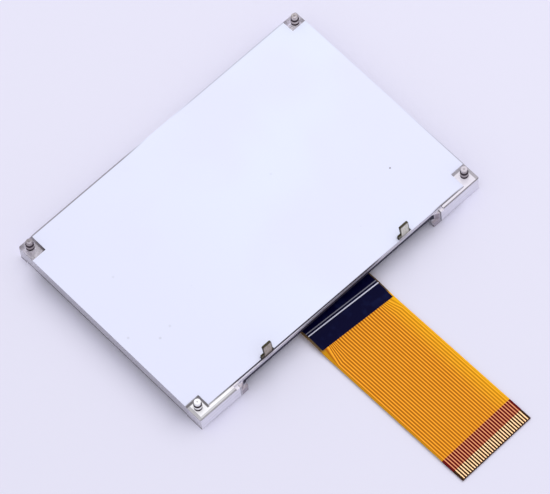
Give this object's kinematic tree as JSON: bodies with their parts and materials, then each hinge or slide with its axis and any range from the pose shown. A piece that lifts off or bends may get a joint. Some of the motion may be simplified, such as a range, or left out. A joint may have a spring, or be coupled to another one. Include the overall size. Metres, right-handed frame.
{
  "type": "cog lcd module",
  "caption": "Thin graphic display module: side-lit clear guide with corner pins and flat leads, glass cell with a driver chip on its ledge, and a flat flexible tail.",
  "frame": {"origin": "centre of the body's outline, on the front face of the display", "axes": "+Z to the rear, away from the viewer; +X along the long side; the flexible tail leaves toward -Y"},
  "size_m": [0.0626, 0.0803, 0.0066],
  "materials": {
    "clear_acrylic": "clear polished moulding",
    "white_film": "smooth white reflective film",
    "white_board": "white solder mask",
    "tinned_metal": "dull tinned",
    "solder": "dull solder",
    "diffuser": "frosted film",
    "white_tape": "white double-sided tape",
    "polarizer": "dark blue polished film",
    "cell_glass": "clear float glass",
    "seal_resin": "cured resin",
    "liquid_crystal": "dark blue fluid",
    "bond_film": "conductive adhesive film",
    "silicon": "ground silicon",
    "sealant": "blue soft sealant",
    "plated_copper": "gold-plated copper",
    "polyimide": "amber polyimide film",
    "dark_strip": "navy-black cover film",
    "stiffener": "dark stiffening plate",
    "diode_housing": "white moulded housing"
  },
  "bodies": {
    "root": {"anode_lead": "tinned_metal", "anode_solder": "solder", "cathode_lead": "tinned_metal", "cathode_solder": "solder", "cell_seal": "seal_resin", "cell_tape": "white_tape", "chip_bond": "bond_film", "diffuser_film": "diffuser", "driver_chip": "silicon", "fill_plug": "seal_resin", "front_glass": "cell_glass", "front_polarizer": "polarizer", "ledge_sealant": "sealant", "light_board": "white_board", "light_guide": "clear_acrylic", "liquid_crystal": "liquid_crystal", "rear_glass": "cell_glass", "rear_polarizer": "polarizer", "reflector_film": "white_film", "side_diode_1": "diode_housing", "side_diode_2": "diode_housing", "side_diode_3": "diode_housing", "side_diode_4": "diode_housing", "tail_base_film": "polyimide", "tail_bond": "bond_film", "tail_conductors": "plated_copper", "tail_coverlay": "polyimide", "tail_root_strip": "dark_strip", "tail_stiffener": "stiffener"}
  },
  "joints": []
}
